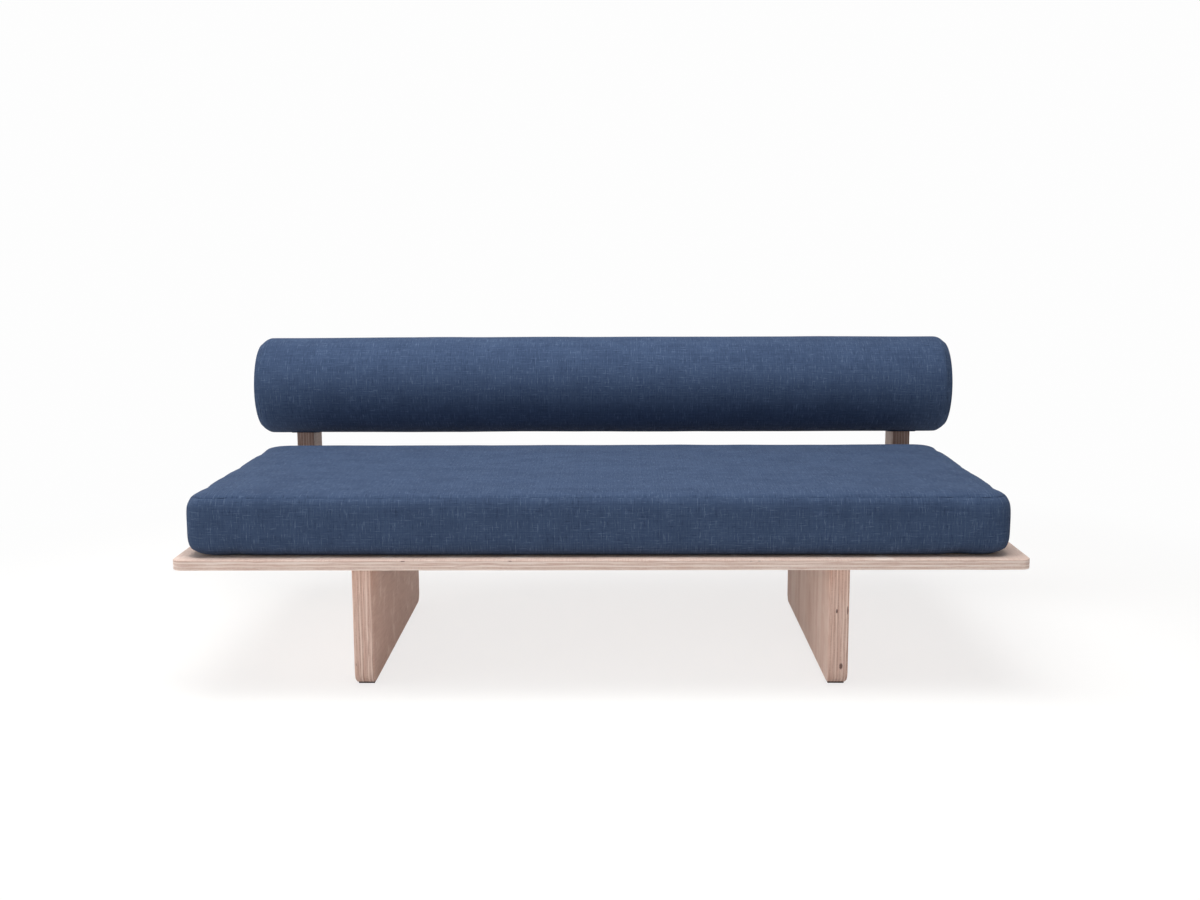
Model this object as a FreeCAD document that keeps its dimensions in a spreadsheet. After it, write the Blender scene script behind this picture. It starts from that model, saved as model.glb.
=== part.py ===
import FreeCAD, Part
import math
import os

from FreeCAD import Placement, Rotation, Vector
import Sketcher

# A daybed sofa: a plywood platform on two slab legs, a loose seat cushion, and a
# round bolster that is lifted on to two posts behind the cushion.
# Millimetres. X runs along the seat, Y from front to back, Z up from the floor.
# The origin is on the floor, below the middle of the whole object.

os.makedirs("parts", exist_ok=True)
doc = FreeCAD.newDocument("daybed_sofa")

# Driving dimensions

DRIVING = [
    ("board_thickness", 24.0, "plywood of platform, legs and posts"),
    ("cushion_width", 1888.0, "seat cushion along the seat"),
    ("cushion_depth", 800.0, "seat cushion from front to back"),
    ("cushion_edge_height", 138.0, "seat cushion at its top seam"),
    ("cushion_crown", 12.0, "rise of its middle above the seam"),
    ("cushion_crown_reach", 180.0, "distance over which the top rises"),
    ("cushion_corner_radius", 40.0, "its corners in plan"),
    ("cushion_base_round", 28.0, "how far its sides roll under"),
    ("cushion_base_rise", 30.0, "height of that roll"),
    ("cushion_top_round", 16.0, "how far its sides lean in at the top seam"),
    ("cushion_top_rise", 34.0, "height of that lean"),
    ("cushion_draw", 4.0, "how far front and ends pull in between corners"),
    ("cushion_shift", 6.0, "the loose cushion lies this far off the middle"),
    ("wadding_thickness", 9.0, "wrap round the seat foam"),
    ("cover_thickness", 1.5, "woven cover"),
    ("cushion_side_margin", 36.0, "platform that shows beside the cushion"),
    ("cushion_front_margin", 25.0, "platform that shows before the cushion"),
    ("cushion_post_gap", 70.0, "room between cushion and posts"),
    ("platform_corner_radius", 22.0, "platform corners in plan"),
    ("edge_ease", 2.0, "rounding of platform edges"),
    ("underside_height", 305.0, "floor to underside of platform"),
    ("leg_end_overhang", 395.0, "platform end to outer face of leg"),
    ("leg_front_margin", 90.0, "platform front to leg"),
    ("leg_rear_margin", 154.0, "platform rear to leg"),
    ("leg_toe_radius", 30.0, "rounded lower front corner of leg"),
    ("leg_heel_radius", 30.0, "rounded lower rear corner of leg"),
    ("leg_foot_chamfer", 4.0, "chamfer along the foot"),
    ("glide_thickness", 4.0, "strip under each leg"),
    ("glide_margin", 5.0, "strip set back from the faces of the leg"),
    ("glide_toe_reach", 3.0, "strip runs on under the rounded toe"),
    ("post_depth", 110.0, "post from front to back"),
    ("post_setback", 30.0, "middle of the posts behind the bolster's axis"),
    ("post_rear_margin", 5.0, "platform rear to post"),
    ("post_end_margin", 93.0, "platform end to outer face of post"),
    ("bolster_diameter", 275.0, "bolster over its cover"),
    ("bolster_end_round", 16.0, "rounding of the bolster ends"),
    ("bolster_gap", 28.0, "seat seam up to the bolster"),
    ("rail_thickness", 18.0, "rails inside the bolster"),
    ("rail_height", 110.0, "height of those rails"),
    ("stop_thickness", 24.0, "block that lies on the post"),
    ("block_thickness", 24.0, "spacer blocks between the rails"),
    ("middle_block_spacing", 430.0, "spacing of the middle spacer blocks"),
    ("socket_clearance", 1.5, "play of post in its socket"),
    ("foam_clearance", 0.5, "play of rails in the foam"),
    ("slot_clearance", 3.0, "room round the post in foam and cover"),
    ("bracket_flange", 40.0, "leg bracket flanges"),
    ("bracket_thickness", 4.0, "leg bracket steel"),
    ("bracket_length", 120.0, "leg bracket along the leg"),
    ("bracket_end_margin", 150.0, "leg edge to bracket"),
    ("bracket_hole_offset", 24.0, "bracket corner to hole"),
    ("bracket_hole_margin", 22.0, "bracket end to hole"),
    ("screw_diameter", 6.0, "bracket screws"),
    ("screw_length", 15.0, "bracket screws below the head"),
    ("screw_head_diameter", 12.0, "bracket screw heads"),
    ("screw_head_height", 3.5, "bracket screw heads"),
    ("insert_diameter", 10.0, "threaded inserts"),
    ("insert_length", 13.0, "threaded inserts"),
    ("bolt_diameter", 8.0, "bolts of the posts"),
    ("bolt_spacing", 60.0, "bolt to bolt in one post"),
    ("bolt_head_diameter", 13.0, "bolt heads"),
    ("bolt_head_height", 8.0, "bolt heads"),
    ("washer_diameter", 24.0, "washers below the platform"),
    ("washer_thickness", 2.0, "washers below the platform"),
    ("nut_diameter", 14.0, "barrel nuts"),
    ("nut_length", 32.0, "barrel nuts"),
    ("nut_height", 45.0, "platform top to barrel nut"),
    ("nut_overrun", 8.0, "bolt end beyond the nut's axis"),
    ("core_screw_diameter", 5.0, "wood screws of rails and blocks"),
    ("core_screw_length", 50.0, "wood screws of rails and blocks"),
    ("core_screw_head_diameter", 10.0, "wood screw heads"),
    ("core_screw_head_height", 3.0, "wood screw heads"),
    ("core_screw_spacing", 60.0, "screw to screw in one spacer block"),
    ("hole_clearance", 0.1, "hole radius over screw or insert radius"),
    ("bolt_hole_clearance", 0.5, "hole radius over bolt radius"),
    ("zip_end_margin", 150.0, "cushion or bolster end to zip"),
    ("zip_height", 70.0, "platform to zip of the seat cover"),
    ("zip_tape_width", 24.0, "zip tapes"),
    ("zip_tape_thickness", 1.0, "zip tapes"),
    ("zip_coil_width", 5.0, "zip coils"),
    ("zip_coil_height", 1.5, "zip coils"),
    ("slider_length", 16.0, "zip sliders"),
    ("slider_width", 11.0, "zip sliders"),
    ("slider_height", 4.5, "zip sliders"),
    ("slider_clearance", 0.3, "play of slider on zip"),
    ("slider_end_gap", 6.0, "slider to end of zip when closed"),
]

sizes = doc.addObject("Spreadsheet::Sheet", "sizes")
for row, (alias, number, note) in enumerate(DRIVING, start=1):
    sizes.set("A%d" % row, note)
    sizes.set("B%d" % row, str(number))
    sizes.setAlias("B%d" % row, alias)
doc.recompute()

# Places that follow from the driving dimensions

FOLLOWING = [
    ("platform_width", "sizes.cushion_width + 2 * sizes.cushion_side_margin"),
    ("post_front", "sizes.cushion_front_margin + sizes.cushion_depth + sizes.cushion_post_gap"),
    ("platform_depth", "post_front + sizes.post_depth + sizes.post_rear_margin"),
    ("platform_top", "sizes.underside_height + sizes.board_thickness"),
    ("bolster_radius", "sizes.bolster_diameter / 2"),
    ("bolster_offset", "post_front + sizes.post_depth / 2 - sizes.post_setback"),
    ("front", "-(bolster_offset + bolster_radius) / 2"),
    ("seat_seam", "platform_top + sizes.cushion_edge_height"),
    ("bolster_y", "front + bolster_offset"),
    ("bolster_z", "seat_seam + sizes.bolster_gap + bolster_radius"),
    ("slab", "2 * sizes.board_thickness"),
    ("leg_outer", "platform_width / 2 - sizes.leg_end_overhang"),
    ("leg_inner", "leg_outer - slab"),
    ("leg_y", "front + sizes.leg_front_margin"),
    ("leg_depth", "platform_depth - sizes.leg_front_margin - sizes.leg_rear_margin"),
    ("leg_height", "sizes.underside_height - sizes.glide_thickness"),
    ("post_outer", "platform_width / 2 - sizes.post_end_margin"),
    ("post_inner", "post_outer - slab"),
    ("post_y", "front + post_front"),
    ("post_top", "bolster_z + sizes.rail_height / 2 - sizes.stop_thickness"),
    ("post_height", "post_top - platform_top"),
    ("socket_depth", "sizes.post_depth + 2 * sizes.socket_clearance"),
    ("rail_length", "2 * (post_outer + sizes.socket_clearance + sizes.block_thickness)"),
    ("core_y", "bolster_y + sizes.post_setback"),
    ("core_depth", "socket_depth + 2 * sizes.rail_thickness"),
    ("core_bottom", "bolster_z - sizes.rail_height / 2"),
    ("first_bracket", "sizes.bracket_end_margin"),
    ("second_bracket", "leg_depth - sizes.bracket_end_margin - sizes.bracket_length"),
    ("insert_hole", "sizes.insert_diameter / 2 + sizes.hole_clearance"),
    ("bolt_hole", "sizes.bolt_diameter / 2 + sizes.bolt_hole_clearance"),
    ("nut_hole", "sizes.nut_diameter / 2 + sizes.hole_clearance"),
    ("first_bolt", "(sizes.post_depth - sizes.bolt_spacing) / 2"),
]

places = doc.addObject("Spreadsheet::Sheet", "places")
for row, (alias, formula) in enumerate(FOLLOWING, start=1):
    places.set("A%d" % row, "=" + formula)
    places.setAlias("A%d" % row, alias)
    doc.recompute()


def size(name):
    """A driving or following dimension as a plain number."""
    sheet = sizes if name in {alias for alias, _, _ in DRIVING} else places
    return float(sheet.get(name))


def bind(thing, **expressions):
    """Ties properties of an object to the sheets. Two underscores stand for a dot."""
    for path, expression in expressions.items():
        thing.setExpression(path.replace("__", "."), expression)


def place(thing, x, y, z):
    bind(thing, Placement__Base__x=x, Placement__Base__y=y, Placement__Base__z=z)


# Sketches: each starts at the origin of its body and has only positive distances

def new_body(label):
    body = doc.addObject("PartDesign::Body", label)
    body.Label = label
    return body


def new_sketch(body, name, plane):
    sketch = body.newObject("Sketcher::SketchObject", name)
    support = [f for f in body.Origin.OriginFeatures if f.Role == plane][0]
    sketch.AttachmentSupport = [(support, "")]
    sketch.MapMode = "FlatFace"
    return sketch


def distance(sketch, kind, constraint, expression):
    """Adds a horizontal or vertical distance and ties it to the sheets."""
    index = sketch.addConstraint(Sketcher.Constraint(kind, *constraint))
    sketch.setExpression("Constraints[%d]" % index, expression)


def outline(body, name, plane, corners):
    """A closed outline of straight sides through corners given as two expressions."""
    sketch = new_sketch(body, name, plane)
    points = []
    for across, along in corners:
        points.append(Vector(number(across), number(along), 0))
    count = len(points)
    for i in range(count):
        sketch.addGeometry(Part.LineSegment(points[i], points[(i + 1) % count]))
    for i in range(count):
        sketch.addConstraint(Sketcher.Constraint("Coincident", i, 2, (i + 1) % count, 1))
    for i, (across, along) in enumerate(corners):
        for kind, expression in (("DistanceX", across), ("DistanceY", along)):
            here = number(expression)
            if here == 0:
                axis = -2 if kind == "DistanceX" else -1
                sketch.addConstraint(Sketcher.Constraint("PointOnObject", i, 1, axis))
            else:
                distance(sketch, kind, (-1, 1, i, 1, here), expression)
    return sketch


def circles(body, name, plane, radius, centres):
    """Circles of one radius, their centres given as two expressions each."""
    sketch = new_sketch(body, name, plane)
    for i, (across, along) in enumerate(centres):
        x, y = number(across), number(along)
        sketch.addGeometry(Part.Circle(Vector(x, y, 0), Vector(0, 0, 1), number(radius)))
        distance(sketch, "Radius", (i, number(radius)), radius)
        distance(sketch, "DistanceX", (-1, 1, i, 3, x), across)
        distance(sketch, "DistanceY", (-1, 1, i, 3, y), along)
    return sketch


def number(expression):
    """What an expression on the sheets comes to."""
    places.set("C1", "=" + expression.replace("places.", ""))
    places.recompute()
    return float(places.get("C1"))


def pad(body, sketch, length):
    feature = body.newObject("PartDesign::Pad", sketch.Name + "_pad")
    feature.Profile = sketch
    bind(feature, Length=length)
    sketch.Visibility = False
    doc.recompute()
    return feature


def pocket(body, sketch, depth, reverse):
    """Cuts a sketch out of the body, and checks that something was cut."""
    before = body.Shape.Volume
    feature = body.newObject("PartDesign::Pocket", sketch.Name + "_pocket")
    feature.Profile = sketch
    feature.Reversed = reverse
    bind(feature, Length=depth)
    doc.recompute()
    assert body.Shape.Volume < before - 1, sketch.Name + " cuts nothing"
    return feature


def dress(body, kind, name, expression, wanted):
    """A fillet or chamfer on those edges of the body's tip that wanted() picks."""
    base = body.Tip
    names = ["Edge%d" % (i + 1) for i, edge in enumerate(base.Shape.Edges) if wanted(edge)]
    feature = body.newObject(kind, name)
    feature.Base = (base, names)
    bind(feature, **{"Radius" if kind.endswith("Fillet") else "Size": expression})
    doc.recompute()
    return feature


def at(value, wanted):
    return abs(value - wanted) < 0.01


# Platform: one plywood panel with rounded corners and eased edges

def make_platform():
    body = new_body("platform_panel")
    width, depth = "places.platform_width", "places.platform_depth"
    plan = outline(body, "platform_plan", "XY_Plane",
                   [("0", "0"), (width, "0"), (width, depth), ("0", depth)])
    pad(body, plan, "sizes.board_thickness")
    dress(body, "PartDesign::Fillet", "platform_corners", "sizes.platform_corner_radius",
          lambda e: at(e.BoundBox.XLength, 0) and at(e.BoundBox.YLength, 0))
    dress(body, "PartDesign::Fillet", "platform_ease", "sizes.edge_ease",
          lambda e: at(e.BoundBox.ZLength, 0))
    insert_centres = []
    for side in ("-", "+"):
        for y in bracket_hole_places():
            from_leg = "places.leg_inner - sizes.bracket_hole_offset"
            insert_centres.append((width + " / 2 " + side + " (" + from_leg + ")",
                                   "sizes.leg_front_margin + " + y))
    holes = circles(body, "platform_insert_holes", "XY_Plane", "places.insert_hole",
                    insert_centres)
    pocket(body, holes, "sizes.insert_length", True)
    bolt_centres = []
    for side in ("-", "+"):
        for y in bolt_places():
            bolt_centres.append((width + " / 2 " + side + " (places.post_outer - "
                                 "sizes.board_thickness)", "places.post_front + " + y))
    bolts = circles(body, "platform_bolt_holes", "XY_Plane", "places.bolt_hole", bolt_centres)
    pocket(body, bolts, "sizes.board_thickness", True)
    place(body, "-places.platform_width / 2", "places.front", "sizes.underside_height")
    return body


def bracket_hole_places():
    """Expressions for the holes' distances from the front edge of a leg."""
    holes = []
    for start in ("places.first_bracket", "places.second_bracket"):
        holes.append(start + " + sizes.bracket_hole_margin")
        holes.append(start + " + sizes.bracket_length - sizes.bracket_hole_margin")
    return holes


def bolt_places():
    """Expressions for the bolts' distances from the front edge of a post."""
    return ["places.first_bolt", "places.first_bolt + sizes.bolt_spacing"]


# Legs: two boards glued into a slab, toe and heel rounded, foot chamfered outside

def make_leg_board(label, x, outside_is_low, has_inserts):
    body = new_body(label)
    depth, height = "places.leg_depth", "places.leg_height"
    side = outline(body, label + "_side", "YZ_Plane",
                   [("0", "0"), (depth, "0"), (depth, height), ("0", height)])
    pad(body, side, "sizes.board_thickness")
    heel_y = size("leg_depth")
    dress(body, "PartDesign::Fillet", label + "_toe", "sizes.leg_toe_radius",
          lambda e: at(e.BoundBox.YMax, 0) and at(e.BoundBox.ZMax, 0))
    dress(body, "PartDesign::Fillet", label + "_heel", "sizes.leg_heel_radius",
          lambda e: at(e.BoundBox.YMin, heel_y) and at(e.BoundBox.ZMax, 0))
    outside = 0 if outside_is_low else size("board_thickness")
    dress(body, "PartDesign::Chamfer", label + "_foot", "sizes.leg_foot_chamfer",
          lambda e: at(e.BoundBox.ZMax, 0) and
          at(e.BoundBox.XMin, outside) and at(e.BoundBox.XMax, outside))
    if has_inserts:
        z = height + " - sizes.bracket_hole_offset"
        holes = circles(body, label + "_insert_holes", "YZ_Plane", "places.insert_hole",
                        [(y, z) for y in bracket_hole_places()])
        if not outside_is_low:
            holes.AttachmentOffset = Placement(Vector(0, 0, size("board_thickness")), Rotation())
            bind(holes, AttachmentOffset__Base__z="sizes.board_thickness")
            doc.recompute()
        pocket(body, holes, "sizes.insert_length", outside_is_low)
    place(body, x, "places.leg_y", "sizes.glide_thickness")
    return body


def make_legs():
    thick = "sizes.board_thickness"
    make_leg_board("left_leg_outer_board", "-places.leg_outer", True, False)
    make_leg_board("left_leg_inner_board", "-places.leg_outer + " + thick, False, True)
    make_leg_board("right_leg_inner_board", "places.leg_inner", True, True)
    make_leg_board("right_leg_outer_board", "places.leg_outer - " + thick, False, False)


def make_glide(label, x):
    strip = doc.addObject("Part::Box", label)
    strip.Label = label
    start = "sizes.leg_toe_radius - sizes.glide_toe_reach"
    end = "places.leg_depth - sizes.leg_heel_radius - sizes.glide_margin"
    bind(strip, Length="places.slab - 2 * sizes.glide_margin",
         Width=end + " - (" + start + ")", Height="sizes.glide_thickness")
    place(strip, x + " + sizes.glide_margin", "places.leg_y + " + start, "0")
    return strip


# Posts: two boards glued, bored for two bolts from below and their barrel nuts

def box(label, length, width, height, x, y, z):
    block = doc.addObject("Part::Box", label)
    block.Label = label
    bind(block, Length=length, Width=width, Height=height)
    place(block, x, y, z)
    return block


def rod(label, radius, length, x, y, z, direction):
    """A cylinder that starts at x, y, z and points along direction."""
    cylinder = doc.addObject("Part::Cylinder", label)
    cylinder.Placement = Placement(Vector(), Rotation(Vector(0, 0, 1), direction))
    bind(cylinder, Radius=radius, Height=length)
    place(cylinder, x, y, z)
    return cylinder


def cut(label, base, tools):
    """The base less all the tools."""
    joined = tools[0]
    if len(tools) > 1:
        joined = doc.addObject("Part::MultiFuse", label + "_tools")
        joined.Shapes = tools
    result = doc.addObject("Part::Cut", label)
    result.Label = label
    result.Base = base
    result.Tool = joined
    return result


def make_post(name, sign, middle):
    """name is left or right, middle the expression for the glue line between its boards."""
    thick = "sizes.board_thickness"
    reach = "sizes.nut_height + sizes.nut_overrun"
    for board, low in (("outer", sign < 0), ("inner", sign > 0)):
        label = "%s_post_%s_board" % (name, board)
        x = middle + " - " + thick if low else middle
        blank = box(label + "_blank", thick, "sizes.post_depth", "places.post_height",
                    x, "places.post_y", "places.platform_top")
        bores = []
        for count, y in enumerate(bolt_places()):
            y = "places.post_y + " + y
            bores.append(rod("%s_bolt_bore_%d" % (label, count), "places.bolt_hole", reach,
                             middle, y, "places.platform_top", Vector(0, 0, 1)))
            across = Vector(-sign, 0, 0)
            start = "%s %s sizes.nut_length / 2" % (middle, "+" if sign > 0 else "-")
            length = "sizes.nut_length / 2 + " + thick
            bores.append(rod("%s_nut_bore_%d" % (label, count), "places.nut_hole", length,
                             start, y, "places.platform_top + sizes.nut_height", across))
        cut(label, blank, bores)


# Fasteners and brackets: one is made, and its copies form one node of separate solids

def group(label, shapes):
    """A node of separate solids."""
    feature = doc.addObject("Part::Feature", label)
    feature.Label = label
    feature.Shape = Part.makeCompound(shapes)
    return feature


def headed(shank_radius, shank_length, head_radius, head_height, start, direction):
    """A screw or bolt: its head's seat is at start and its shank points along direction."""
    shank = Part.makeCylinder(shank_radius, shank_length, start, direction)
    head = Part.makeCylinder(head_radius, head_height, start, direction.negative())
    return shank.fuse(head).removeSplitter()


def tube(outer, inner, length, start, direction):
    sleeve = Part.makeCylinder(outer, length, start, direction)
    return sleeve.cut(Part.makeCylinder(inner, length, start, direction))


def bracket_starts():
    """Side (-1 left, 1 right) and front end of each leg bracket."""
    for side in (-1, 1):
        for start in (size("first_bracket"), size("second_bracket")):
            yield side, size("leg_y") + start


def make_brackets():
    """Steel angles in the corner between the inner face of a leg and the platform."""
    flange, thick = size("bracket_flange"), size("bracket_thickness")
    length, offset = size("bracket_length"), size("bracket_hole_offset")
    under, inner = size("underside_height"), size("leg_inner")
    radius = size("screw_diameter") / 2 + size("bolt_hole_clearance")
    shank, shank_length = size("screw_diameter") / 2, size("screw_length")
    head, head_height = size("screw_head_diameter") / 2, size("screw_head_height")
    sleeve = size("insert_diameter") / 2
    bore = shank + size("hole_clearance")
    angles, up_screws, side_screws, up_inserts, side_inserts = [], [], [], [], []
    for side, y in bracket_starts():
        outward = Vector(side, 0, 0)
        leg_face = side * inner
        upright = Part.makeBox(thick, length, flange,
                               Vector(min(leg_face, leg_face - side * thick), y, under - flange))
        level = Part.makeBox(flange, length, thick,
                             Vector(min(leg_face, leg_face - side * flange), y, under - thick))
        angle = upright.fuse(level).removeSplitter()
        for hole_y in (y + size("bracket_hole_margin"), y + length - size("bracket_hole_margin")):
            below = Vector(leg_face - side * offset, hole_y, under - thick)
            beside = Vector(leg_face - side * thick, hole_y, under - offset)
            angle = angle.cut(Part.makeCylinder(radius, thick, below))
            angle = angle.cut(Part.makeCylinder(radius, thick, beside, outward))
            up_screws.append(headed(shank, shank_length, head, head_height, below, Vector(0, 0, 1)))
            side_screws.append(headed(shank, shank_length, head, head_height, beside, outward))
            seat = Vector(below.x, hole_y, under)
            up_inserts.append(tube(sleeve, bore, size("insert_length"), seat, Vector(0, 0, 1)))
            seat = Vector(leg_face, hole_y, beside.z)
            side_inserts.append(tube(sleeve, bore, size("insert_length"), seat, outward))
        angles.append(angle)
    group("leg_brackets", angles)
    group("bracket_platform_screws", up_screws)
    group("bracket_leg_screws", side_screws)
    group("platform_inserts", up_inserts)
    group("leg_inserts", side_inserts)


def make_post_fasteners():
    """Bolts with washers from below the platform into barrel nuts in the posts."""
    under, top = size("underside_height"), size("platform_top")
    washer = size("washer_thickness")
    shank, head = size("bolt_diameter") / 2, size("bolt_head_diameter") / 2
    length = washer + size("board_thickness") + size("nut_height") + size("nut_overrun")
    up = Vector(0, 0, 1)
    bolts, washers, nuts = [], [], []
    for side in (-1, 1):
        x = side * (size("post_outer") - size("board_thickness"))
        for place_in_post in (size("first_bolt"), size("first_bolt") + size("bolt_spacing")):
            y = size("post_y") + place_in_post
            seat = Vector(x, y, under - washer)
            bolts.append(headed(shank, length, head, size("bolt_head_height"), seat, up))
            washers.append(tube(size("washer_diameter") / 2, shank + size("hole_clearance"),
                                washer, seat, up))
            nut_start = Vector(x - size("nut_length") / 2, y, top + size("nut_height"))
            nut = Part.makeCylinder(size("nut_diameter") / 2, size("nut_length"), nut_start,
                                    Vector(1, 0, 0))
            bore = Part.makeCylinder(shank + size("hole_clearance"), 2 * size("nut_diameter"),
                                     Vector(x, y, nut_start.z - size("nut_diameter")))
            nuts.append(nut.cut(bore))
    group("post_bolts", bolts)
    group("post_washers", washers)
    group("post_barrel_nuts", nuts)


# Core of the bolster: two rails, spacer blocks that form the post sockets, stop blocks

def block_starts():
    """Lower X of each spacer block."""
    thick, play = size("block_thickness"), size("socket_clearance")
    starts = []
    for side in (-1, 1):
        for face in (size("post_outer") + play, size("post_inner") - play - thick):
            starts.append(face if side > 0 else -face - thick)
    for step in (-1, 0, 1):
        starts.append(step * size("middle_block_spacing") - thick / 2)
    return sorted(starts)


def stop_starts():
    """Lower X of each block that lies on a post."""
    play = size("socket_clearance")
    return [-size("post_outer") - play, size("post_inner") - play]


def core_screw_places():
    """X and Z of each screw that holds a rail to a block."""
    half = size("core_screw_spacing") / 2
    for x in block_starts():
        for z in (-half, half):
            yield x + size("block_thickness") / 2, size("bolster_z") + z
    for x in stop_starts():
        middle = x + size("slab") / 2 + size("socket_clearance")
        yield middle, size("post_top") + size("stop_thickness") / 2


def core_screw(x, z, side, play):
    """A countersunk wood screw, its head flush with the outer face of a rail."""
    direction = Vector(0, -side, 0)
    start = Vector(x, size("core_y") + side * size("core_depth") / 2, z)
    shank = Part.makeCylinder(size("core_screw_diameter") / 2 + play,
                              size("core_screw_length") + play, start, direction)
    head = Part.makeCone(size("core_screw_head_diameter") / 2 + play,
                         size("core_screw_diameter") / 2 + play,
                         size("core_screw_head_height"), start, direction)
    return shank.fuse(head).removeSplitter()


def make_core():
    depth, height = size("socket_depth"), size("rail_height")
    y = size("core_y") - depth / 2
    bottom = size("core_bottom")
    screws, bores = [], []
    for x, z in core_screw_places():
        for side in (-1, 1):
            screws.append(core_screw(x, z, side, 0))
            bores.append(core_screw(x, z, side, size("hole_clearance")))
    group("bolster_core_screws", screws)
    all_bores = Part.makeCompound(bores)
    rail_y = {"bolster_front_rail": y - size("rail_thickness"), "bolster_rear_rail": y + depth}
    for label, start in rail_y.items():
        rail = Part.makeBox(size("rail_length"), size("rail_thickness"), height,
                            Vector(-size("rail_length") / 2, start, bottom))
        solid(label, rail.cut(all_bores))
    blocks = [Part.makeBox(size("block_thickness"), depth, height, Vector(x, y, bottom))
              for x in block_starts()]
    group("bolster_spacer_blocks", [block.cut(all_bores).Solids[0] for block in blocks])
    width = size("slab") + 2 * size("socket_clearance")
    stops = [Part.makeBox(width, depth, size("stop_thickness"), Vector(x, y, size("post_top")))
             for x in stop_starts()]
    group("bolster_stop_blocks", [stop.cut(all_bores).Solids[0] for stop in stops])


def solid(label, shape):
    """A node of one solid."""
    assert len(shape.Solids) == 1, label + " is not one solid"
    feature = doc.addObject("Part::Feature", label)
    feature.Label = label
    feature.Shape = shape.Solids[0]
    return feature


# Soft forms

def arc(start, middle, end):
    return Part.Arc(start, middle, end).toShape()


def cushion_section(draw_in, height):
    """Plan outline of the seat cushion at one height: corners of a quarter circle,
    a straight rear, and front and ends that pull in a little between the corners."""
    half = size("cushion_width") / 2 - draw_in
    y0 = size("front") + size("cushion_front_margin") + draw_in
    y1 = size("front") + size("cushion_front_margin") + size("cushion_depth") - draw_in
    r, pull, shift = size("cushion_corner_radius"), size("cushion_draw"), size("cushion_shift")
    diagonal = r * (1 - math.sqrt(0.5))
    z = size("platform_top") + height

    def point(x, y):
        return Vector(x - shift, y, z)

    middle_y = (y0 + y1) / 2
    edges = [
        arc(point(-half + r, y0), point(0, y0 + pull), point(half - r, y0)),
        arc(point(half - r, y0), point(half - diagonal, y0 + diagonal), point(half, y0 + r)),
        arc(point(half, y0 + r), point(half - pull, middle_y), point(half, y1 - r)),
        arc(point(half, y1 - r), point(half - diagonal, y1 - diagonal), point(half - r, y1)),
        Part.LineSegment(point(half - r, y1), point(-half + r, y1)).toShape(),
        arc(point(-half + r, y1), point(-half + diagonal, y1 - diagonal), point(-half, y1 - r)),
        arc(point(-half, y1 - r), point(-half + pull, middle_y), point(-half, y0 + r)),
        arc(point(-half, y0 + r), point(-half + diagonal, y0 + diagonal), point(-half + r, y0)),
    ]
    return Part.Wire(edges)


def cushion_levels():
    """Height above the platform and draw-in of each section, from base to crown."""
    levels = []
    for angle in (0, 30, 60, 90):
        turn = math.radians(angle)
        levels.append((size("cushion_base_rise") * (1 - math.cos(turn)),
                       size("cushion_base_round") * (1 - math.sin(turn))))
    for angle in (90, 50, 20):
        turn = math.radians(angle)
        levels.append((size("cushion_edge_height") - size("cushion_top_rise") * (1 - math.cos(turn)),
                       size("cushion_top_round") * (1 - math.sin(turn))))
    for share in (0.0, 1 / 3, 2 / 3, 1.0):
        levels.append((size("cushion_edge_height") + size("cushion_crown") * (1 - (1 - share) ** 2),
                       size("cushion_top_round") + size("cushion_crown_reach") * share))
    return levels


def cushion_form(skin):
    """The closed form of the seat cushion, less a skin of the given thickness."""
    total = size("cushion_edge_height") + size("cushion_crown")
    sections = []
    for height, draw_in in cushion_levels():
        inside = skin + height * (total - 2 * skin) / total
        sections.append(cushion_section(draw_in + skin, inside))
    return Part.makeLoft(sections, True, True)


def make_seat_cushion():
    outer = cushion_form(0)
    wadding = cushion_form(size("cover_thickness"))
    foam = cushion_form(size("cover_thickness") + size("wadding_thickness"))
    solid("seat_cover", outer.cut(wadding))
    solid("seat_wadding", wadding.cut(foam))
    solid("seat_foam_core", foam)


def bolster_form(skin):
    """The round body of the bolster, less a skin: a profile turned about its axis."""
    radius = size("bolster_radius") - skin
    half = size("platform_width") / 2 - skin
    r = size("bolster_end_round") - skin
    diagonal = r * (1 - math.sqrt(0.5))

    def point(x, distance_from_axis):
        return Vector(x, size("bolster_y"), size("bolster_z") + distance_from_axis)

    edges = [
        Part.LineSegment(point(-half, 0), point(-half, radius - r)).toShape(),
        arc(point(-half, radius - r), point(-half + diagonal, radius - diagonal),
            point(-half + r, radius)),
        Part.LineSegment(point(-half + r, radius), point(half - r, radius)).toShape(),
        arc(point(half - r, radius), point(half - diagonal, radius - diagonal),
            point(half, radius - r)),
        Part.LineSegment(point(half, radius - r), point(half, 0)).toShape(),
        Part.LineSegment(point(half, 0), point(-half, 0)).toShape(),
    ]
    face = Part.Face(Part.Wire(edges))
    return face.revolve(point(0, 0), Vector(1, 0, 0), 360)


def post_slots():
    """Room for the two posts, from below the bolster up to its core."""
    play = size("slot_clearance")
    low = size("bolster_z") - size("bolster_radius") - play
    slots = []
    for side in (-1, 1):
        x = side * (size("post_outer") - size("slab") / 2) - size("slab") / 2 - play
        slots.append(Part.makeBox(size("slab") + 2 * play, size("post_depth") + 2 * play,
                                  size("core_bottom") - low,
                                  Vector(x, size("post_y") - play, low)))
    return slots


def make_bolster():
    play = size("foam_clearance")
    channel = Part.makeBox(size("rail_length") + 2 * play, size("core_depth") + 2 * play,
                           size("rail_height") + 2 * play,
                           Vector(-size("rail_length") / 2 - play,
                                  size("core_y") - size("core_depth") / 2 - play,
                                  size("core_bottom") - play))
    slots = post_slots()
    body = bolster_form(size("cover_thickness"))
    solid("bolster_foam", body.cut([channel] + slots))
    solid("bolster_cover", bolster_form(0).cut([body] + slots))


# Zips: a tape with its raised coil, and a slider that straddles the coil

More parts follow.
